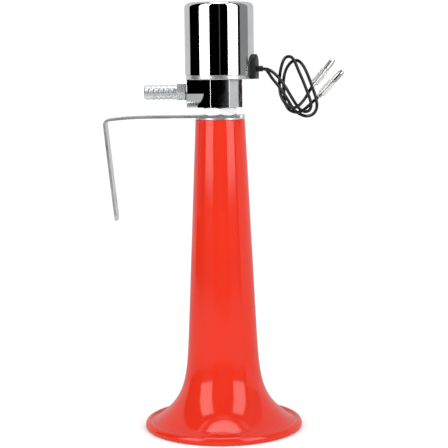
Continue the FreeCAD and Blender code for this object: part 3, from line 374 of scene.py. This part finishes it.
def finish(slot, first=None, second=None):
    """The material of one slot, made once: a shared group's pattern feeding the shader."""
    ready = bpy.data.materials.get("finish " + slot)
    if ready:
        return ready
    look = FINISHES[slot]
    material = bpy.data.materials.new("finish " + slot)
    material.use_nodes = True
    tree = material.node_tree
    shader = tree.nodes["Principled BSDF"]
    pattern = tree.nodes.new("ShaderNodeGroup")
    pattern.node_tree = bpy.data.node_groups[look.group]
    colours = ((*(first or look.first), 1.0), (*(second or look.second), 1.0))
    scales = look.scale if look.group == MARKS_GROUP else look.scale[::-1]
    for socket, value in zip(pattern.inputs, colours + look.roughness + scales):
        socket.default_value = value
    bump = tree.nodes.new("ShaderNodeBump")
    bump.inputs["Strength"].default_value = BUMP_STRENGTH
    bump.inputs["Distance"].default_value = look.bump * MM
    tree.links.new(pattern.outputs["Color"], shader.inputs["Base Color"])
    tree.links.new(pattern.outputs["Roughness"], shader.inputs["Roughness"])
    tree.links.new(pattern.outputs["Height"], bump.inputs["Height"])
    tree.links.new(bump.outputs["Normal"], shader.inputs["Normal"])
    shader.inputs["Metallic"].default_value = look.metallic
    for label, value in SHADER_EXTRAS.get(slot, {}).items():
        shader.inputs[label].default_value = value
    return material


def dress(*nodes):
    """Gives CAD nodes the finish that the record's slots name."""
    slots = {part["node"]: part["material_slot"] for part in frame["record"]["subparts"]}
    for name in nodes:
        material = finish(slots[name])
        for place in frame["nodes"][name].material_slots:
            place.material = material


# ---- mesh helpers ----
def arc(start, middle, end, count):
    """Points on the circle through three (radius, height) points, the start left out."""
    (ax, ay), (bx, by), (cx, cy) = start, middle, end
    d = 2 * (ax * (by - cy) + bx * (cy - ay) + cx * (ay - by))
    a2, b2, c2 = ax * ax + ay * ay, bx * bx + by * by, cx * cx + cy * cy
    ox = (a2 * (by - cy) + b2 * (cy - ay) + c2 * (ay - by)) / d
    oy = (a2 * (cx - bx) + b2 * (ax - cx) + c2 * (bx - ax)) / d
    radius = math.hypot(ax - ox, ay - oy)
    first, via, last = (math.atan2(y - oy, x - ox) for x, y in (start, middle, end))
    turn = (last - first) % (2 * math.pi)
    if (via - first) % (2 * math.pi) > turn:
        turn -= 2 * math.pi
    return [(ox + radius * math.cos(first + turn * k / count),
             oy + radius * math.sin(first + turn * k / count)) for k in range(1, count + 1)]


def lathe(name, profile, sides):
    """A closed (radius, height) outline turned about Z, smooth but for its corners."""
    mesh = bpy.data.meshes.new(name)
    work = bmesh.new()
    rings = []
    for k in range(sides):
        angle = 2 * math.pi * k / sides
        c, s = math.cos(angle), math.sin(angle)
        rings.append([work.verts.new((r * c, r * s, z)) for r, z in profile])
    count = len(profile)
    for k in range(sides):
        here, there = rings[k], rings[(k + 1) % sides]
        for i in range(count):
            j = (i + 1) % count
            work.faces.new((here[i], there[i], there[j], here[j]))
    bmesh.ops.recalc_face_normals(work, faces=work.faces)
    for face in work.faces:
        face.smooth = True
    for edge in work.edges:
        if edge.calc_face_angle(0.0) > CREASE:
            edge.smooth = False
    work.to_mesh(mesh)
    work.free()
    piece = bpy.data.objects.new(name, mesh)
    bpy.context.scene.collection.objects.link(piece)
    return piece


# ---- trumpet ----
def trumpet_radius(s, z):
    """Outer radius at a height: a slow cone and a flare that dies away."""
    rise = s.mouth_radius - s.top_radius - s.cone_slope * s.height
    cone = s.top_radius + s.cone_slope * (s.height - z)
    return cone + rise * math.exp(-((z / s.flare_depth) ** s.flare_power))


def trumpet_outline(s):
    """The trumpet's section, from the top edge down the outside and back up the inside."""
    lip_inside = s.mouth_radius - s.lip_width
    flare_foot = s.lip_height - FLARE_FOOT_DROP
    foot = lip_inside + FOOT_OUT
    inner_foot = (foot - INNER_FOOT[0], INNER_FOOT[1])
    top_r = trumpet_radius(s, s.height)

    def outside(z):
        gap = lip_inside - trumpet_radius(s, flare_foot)
        near = max(0.0, (BLEND_HEIGHT - z) / (BLEND_HEIGHT - flare_foot))
        return trumpet_radius(s, z) + gap * near ** 2

    def inside(z):
        fall = trumpet_radius(s, z - SLOPE_STEP) - trumpet_radius(s, z + SLOPE_STEP)
        return trumpet_radius(s, z) - s.wall * math.hypot(1, fall / (2 * SLOPE_STEP))

    def inside_blended(z):
        gap = inner_foot[0] - inside(inner_foot[1])
        near = max(0.0, (BLEND_HEIGHT - z) / (BLEND_HEIGHT - inner_foot[1]))
        return inside(z) + gap * near ** 2

    def spaced(high, low, count):
        """Heights that crowd together towards the mouth."""
        return [low + (high - low) * (1 - k / count) ** 2 for k in range(count + 1)]

    under_edge = s.height - TOP_EDGE
    points = [(STEM_RADIUS + STEM_CLEARANCE, s.height), (top_r - TOP_EDGE, s.height)]
    corner = (top_r - TOP_EDGE + TOP_EDGE * DIAGONAL, s.height - TOP_EDGE * (1 - DIAGONAL))
    points += arc(points[-1], corner, (outside(under_edge), under_edge), EDGE_STEPS)
    points += [(outside(z), z) for z in spaced(under_edge, flare_foot, OUTSIDE_STEPS)[1:]]

    slope = (lip_inside + LIP_SLOPE * s.lip_width, s.lip_height - LIP_SLOPE_DROP)
    ridge = (lip_inside + LIP_RIDGE * s.lip_width, s.lip_height)
    shoulder = (s.mouth_radius - LIP_SHOULDER_IN, LIP_SHOULDER_UP * s.lip_height)
    rim = (s.mouth_radius, SOLE_EDGE)
    points += arc(points[-1], slope, ridge, EDGE_STEPS)
    points += arc(ridge, shoulder, rim, LIP_STEPS)

    drop = SOLE_EDGE * (1 - DIAGONAL)
    sole = (s.mouth_radius - SOLE_EDGE, 0.0)
    points += arc(rim, (s.mouth_radius - drop, drop), sole, SOLE_STEPS)
    points.append((foot, 0.0))
    points += arc(points[-1], (foot - FOOT_BEND[0], FOOT_BEND[1]), inner_foot, EDGE_STEPS)

    inner_top = s.height - s.top_wall
    rising = spaced(inner_top, inner_foot[1], INSIDE_STEPS)[::-1]
    points += [(inside_blended(z), z) for z in rising[1:]]
    points.append((STEM_RADIUS + STEM_CLEARANCE, inner_top))
    return points


class HORN_OT_trumpet(Operator):
    """Turns the red trumpet and bell from its section"""

    bl_idname = "horn.trumpet"
    bl_label = "Trumpet"

    def execute(self, context):
        s = context.scene.horn_trumpet
        piece = lathe("trumpet_shell", trumpet_outline(s), s.sides)
        piece.data.materials.append(finish("red_plastic", s.colour, s.shade))
        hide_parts("trumpet")
        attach(piece, "horn")
        return {"FINISHED"}


class HORN_OT_finishes(Operator):
    """Builds the shader groups that the finishes share"""

    bl_idname = "horn.finishes"
    bl_label = "Shared finishes"

    def execute(self, context):
        handling_marks()
        surface_grain()
        return {"FINISHED"}


class HORN_OT_valve(Operator):
    """Plates the valve body, can and base plate, and the hose nipple with its washer"""

    bl_idname = "horn.valve"
    bl_label = "Valve and can"

    def execute(self, context):
        dress("valve_body", "solenoid_can", "base_plate", "hose_nipple", "nipple_washer")
        return {"FINISHED"}


class HORN_OT_bracket(Operator):
    """Zinc-plates the bracket and what clamps it"""

    bl_idname = "horn.bracket"
    bl_label = "Bracket, nuts and washer"

    def execute(self, context):
        dress("mounting_bracket", "horn_washer", "lock_nut", "inner_nut", "plate_screws")
        return {"FINISHED"}


class HORN_OT_inner_works(Operator):
    """Finishes the coil, the plunger and the reed unit"""

    bl_idname = "horn.inner_works"
    bl_label = "Coil, plunger and reed"

    def execute(self, context):
        dress("guide_tube", "tube_o_ring", "pole_core", "plunger", "plunger_seal", "plunger_spring",
              "coil_bobbin", "coil_winding", "coil_cushion", "coil_tails",
              "reed_block", "reed_clamp", "reed_tongue")
        return {"FINISHED"}


class HORN_OT_leads(Operator):
    """Runs the two knotted leads from the grommet to their bullet terminals"""

    bl_idname = "horn.leads"
    bl_label = "Grommet, leads and terminals"

    def execute(self, context):
        s = context.scene.horn_leads
        dress("cable_grommet", "terminal_a", "terminal_b",
              "terminal_sleeve_a", "terminal_sleeve_b")
        shade = tuple(INSULATION_SHADE * c for c in s.colour)
        material = finish("lead_insulation", s.colour, shade)
        for letter, corners in (("a", LEAD_A), ("b", LEAD_B)):
            data = bpy.data.curves.new("lead_wire_" + letter, "CURVE")
            data.dimensions = "3D"
            spline = data.splines.new("NURBS")
            spline.points.add(len(corners) - 1)
            for point, corner in zip(spline.points, corners):
                point.co = (*(c * MM for c in corner), 1.0)
            spline.order_u = 3
            spline.use_endpoint_u = True
            spline.resolution_u = CURVE_STEPS
            data.bevel_depth = s.diameter / 2
            data.bevel_resolution = BEVEL_STEPS
            data.use_fill_caps = True
            data.materials.append(material)
            piece = bpy.data.objects.new("lead_wire_" + letter, data)
            context.scene.collection.objects.link(piece)
            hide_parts("lead_" + letter)
            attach(piece, "horn")
        return {"FINISHED"}


# ---- studio ----
# Lowest and highest edge of the cards (m), where the softboxes start and end, and where the two
# greys on the right meet.
CARD_FOOT, CARD_TOP = -0.3, 2.6
SOFTBOX_FOOT, SOFTBOX_TOP = 0.160, 1.8
GREY_JOIN = 0.213
SOFTBOX_GLOW, SKIRT_GLOW = 3.0, 0.12

# Cards seen only in reflections: azimuth from and to (degrees from the front, + to the cable
# side), lower and upper edge (m), brightness.
CARDS = (
    ("front_flag_left", -33, 0.4, CARD_FOOT, CARD_TOP, 0.0),
    ("front_gap", 0.4, 2.2, CARD_FOOT, CARD_TOP, 0.10),
    ("front_flag_right", 2.2, 29, CARD_FOOT, CARD_TOP, 0.0),
    ("left_softbox", -68, -33, SOFTBOX_FOOT, SOFTBOX_TOP, SOFTBOX_GLOW),
    ("left_softbox_hood", -68, -33, SOFTBOX_TOP, CARD_TOP, 0.0),
    ("left_softbox_skirt", -68, -33, CARD_FOOT, SOFTBOX_FOOT, SKIRT_GLOW),
    ("left_flag", -114, -68, CARD_FOOT, CARD_TOP, 0.0),
    ("right_softbox", 29, 63, SOFTBOX_FOOT, SOFTBOX_TOP, SOFTBOX_GLOW),
    ("right_softbox_hood", 29, 63, SOFTBOX_TOP, CARD_TOP, 0.0),
    ("right_softbox_skirt", 29, 63, CARD_FOOT, SOFTBOX_FOOT, SKIRT_GLOW),
    ("right_flag", 63, 73, CARD_FOOT, CARD_TOP, 0.01),
    ("right_grey", 73, 110, GREY_JOIN, CARD_TOP, 0.25),
    ("right_grey_low", 73, 110, CARD_FOOT, GREY_JOIN, 0.6),
    ("back_grey", 110, 246, CARD_FOOT, CARD_TOP, 0.62),
)
CARD_STEP = 4

# Level cards, also seen only in reflections: half width, half depth, how far back the middle is
# and height (m), corners, brightness.
LEVEL_CARDS = (
    ("ceiling", 1.3, 1.3, 0.0, 2.62, 4, 0.12),
    ("overhead_softbox", 0.66, 0.76, 0.06, 2.5, 48, 3.4),
    ("floor_bounce", 1.3, 1.3, 0.0, -0.0004, 4, 0.5),
)

# Lamps: place and side of the square (m).
LAMPS = (
    ("lamp_left", (-0.9, -0.9, 0.7), 0.6),
    ("lamp_right", (0.9, -0.9, 0.7), 0.6),
    ("lamp_front", (0.0, -1.4, 0.35), 0.8),
)
SENSOR_WIDTH = 36.0
NEAREST_SEEN = 0.01
FLOOR_HALF, FLOOR_DROP, FLOOR_ROUGHNESS = 3.0, 0.0002, 0.8


def card(name, start, end, low, high, brightness, distance):
    """A curved card round the axis."""
    steps = max(4, int((end - start) / CARD_STEP))
    places, faces = [], []
    for k in range(steps + 1):
        a = math.radians(start + (end - start) * k / steps)
        x, y = distance * math.sin(a), -distance * math.cos(a)
        places += [(x, y, low), (x, y, high)]
    for k in range(steps):
        faces.append((2 * k, 2 * k + 2, 2 * k + 3, 2 * k + 1))
    glowing_panel(name, places, faces, brightness)


def glowing_panel(name, places, faces, brightness):
    """A mesh that gives off even light and that only reflections see."""
    mesh = bpy.data.meshes.new(name)
    mesh.from_pydata(places, [], faces)
    panel = bpy.data.objects.new(name, mesh)
    bpy.context.scene.collection.objects.link(panel)
    material = bpy.data.materials.new("card " + name)
    material.use_nodes = True
    tree = material.node_tree
    tree.nodes.clear()
    glow = tree.nodes.new("ShaderNodeEmission")
    glow.inputs["Strength"].default_value = brightness
    out = tree.nodes.new("ShaderNodeOutputMaterial")
    tree.links.new(glow.outputs["Emission"], out.inputs["Surface"])
    mesh.materials.append(material)
    panel.visible_camera = panel.visible_diffuse = panel.visible_shadow = False
    panel.visible_volume_scatter = False


def lamp(name, place, size, power):
    """A square area lamp aimed at the middle of the trumpet, left out of reflections."""
    data = bpy.data.lights.new(name, "AREA")
    data.shape, data.size, data.energy = "SQUARE", size, power
    light = bpy.data.objects.new(name, data)
    light.location = place
    aim = Vector((0, 0, TRUMPET_TOP / 2)) - Vector(place)
    light.rotation_euler = aim.to_track_quat("-Z", "Y").to_euler()
    light.visible_glossy = False
    light.visible_camera = False
    bpy.context.scene.collection.objects.link(light)


class HORN_OT_studio(Operator):
    """Sets the camera, the pale floor, the surround, the cards and the lamps"""

    bl_idname = "horn.studio"
    bl_label = "Studio"

    def execute(self, context):
        s = context.scene.horn_studio
        scene = context.scene
        scene.view_settings.view_transform = "Standard"

        data = bpy.data.cameras.new("camera")
        data.lens, data.sensor_width = s.lens, SENSOR_WIDTH
        data.clip_start = NEAREST_SEEN
        camera = bpy.data.objects.new("camera", data)
        scene.collection.objects.link(camera)
        tilt = Matrix.Rotation(math.pi / 2 - s.camera_tilt, 4, "X")
        roll = Matrix.Rotation(s.camera_roll, 4, "Z")
        place = Matrix.Translation((s.camera_side, -s.camera_distance, s.camera_height))
        camera.matrix_world = place @ (tilt @ roll)
        scene.camera = camera

        world = bpy.data.worlds.new("surround")
        world.use_nodes = True
        background = world.node_tree.nodes["Background"]
        background.inputs["Color"].default_value = (1, 1, 1, 1)
        background.inputs["Strength"].default_value = s.sky
        scene.world = world

        mesh = bpy.data.meshes.new("floor")
        turns = ((-1, -1), (1, -1), (1, 1), (-1, 1))
        corners = [(x * FLOOR_HALF, y * FLOOR_HALF, 0) for x, y in turns]
        mesh.from_pydata(corners, [], [(0, 1, 2, 3)])
        floor = bpy.data.objects.new("floor", mesh)
        floor.location.z = -FLOOR_DROP
        floor.visible_glossy = False
        material = bpy.data.materials.new("floor paper")
        material.use_nodes = True
        shader = material.node_tree.nodes["Principled BSDF"]
        shader.inputs["Base Color"].default_value = (*s.floor, 1.0)
        shader.inputs["Roughness"].default_value = FLOOR_ROUGHNESS
        shader.inputs["Specular IOR Level"].default_value = 0.0
        mesh.materials.append(material)
        scene.collection.objects.link(floor)

        for name, start, end, low, high, brightness in CARDS:
            card(name, start, end, low, high, brightness, s.card_distance)
        for name, half_x, half_y, back, z, count, brightness in LEVEL_CARDS:
            turns = [2 * math.pi * (k + 0.5) / count for k in range(count)]
            places = [(half_x * math.cos(a), back + half_y * math.sin(a), z) for a in turns]
            glowing_panel(name, places, [tuple(range(count))], brightness)
        for name, place, size in LAMPS:
            lamp(name, place, size, s.key)
        return {"FINISHED"}


class HORN_PT_panel(Panel):
    """Lists the horn's pieces and settings"""

    bl_idname = "HORN_PT_panel"
    bl_label = "Air Horn"
    bl_space_type = "VIEW_3D"
    bl_region_type = "UI"
    bl_category = "Air Horn"

    def draw(self, context):
        scene, layout = context.scene, self.layout
        for settings in (scene.horn_trumpet, scene.horn_leads, scene.horn_studio):
            box = layout.box()
            for name in type(settings).__annotations__:
                box.prop(settings, name)
        for operator in STEPS:
            layout.operator(operator.bl_idname)


STEPS = (HORN_OT_finishes, HORN_OT_trumpet, HORN_OT_valve, HORN_OT_bracket, HORN_OT_inner_works,
         HORN_OT_leads, HORN_OT_studio)
SETTINGS = (TrumpetSettings, LeadSettings, StudioSettings)


def register():
    """Adds the settings, operators and panel."""
    for cls in (*SETTINGS, *STEPS, HORN_PT_panel):
        bpy.utils.register_class(cls)
    bpy.types.Scene.horn_trumpet = PointerProperty(type=TrumpetSettings)
    bpy.types.Scene.horn_leads = PointerProperty(type=LeadSettings)
    bpy.types.Scene.horn_studio = PointerProperty(type=StudioSettings)


def unregister():
    """Takes them all away again."""
    for name in ("horn_trumpet", "horn_leads", "horn_studio"):
        delattr(bpy.types.Scene, name)
    for cls in reversed((*SETTINGS, *STEPS, HORN_PT_panel)):
        bpy.utils.unregister_class(cls)


def main():
    """Builds everything in order."""
    register()
    bpy.ops.horn.finishes()
    bpy.ops.horn.trumpet()
    bpy.ops.horn.valve()
    bpy.ops.horn.bracket()
    bpy.ops.horn.inner_works()
    bpy.ops.horn.leads()
    bpy.ops.horn.studio()


if __name__ == "__main__":
    main()
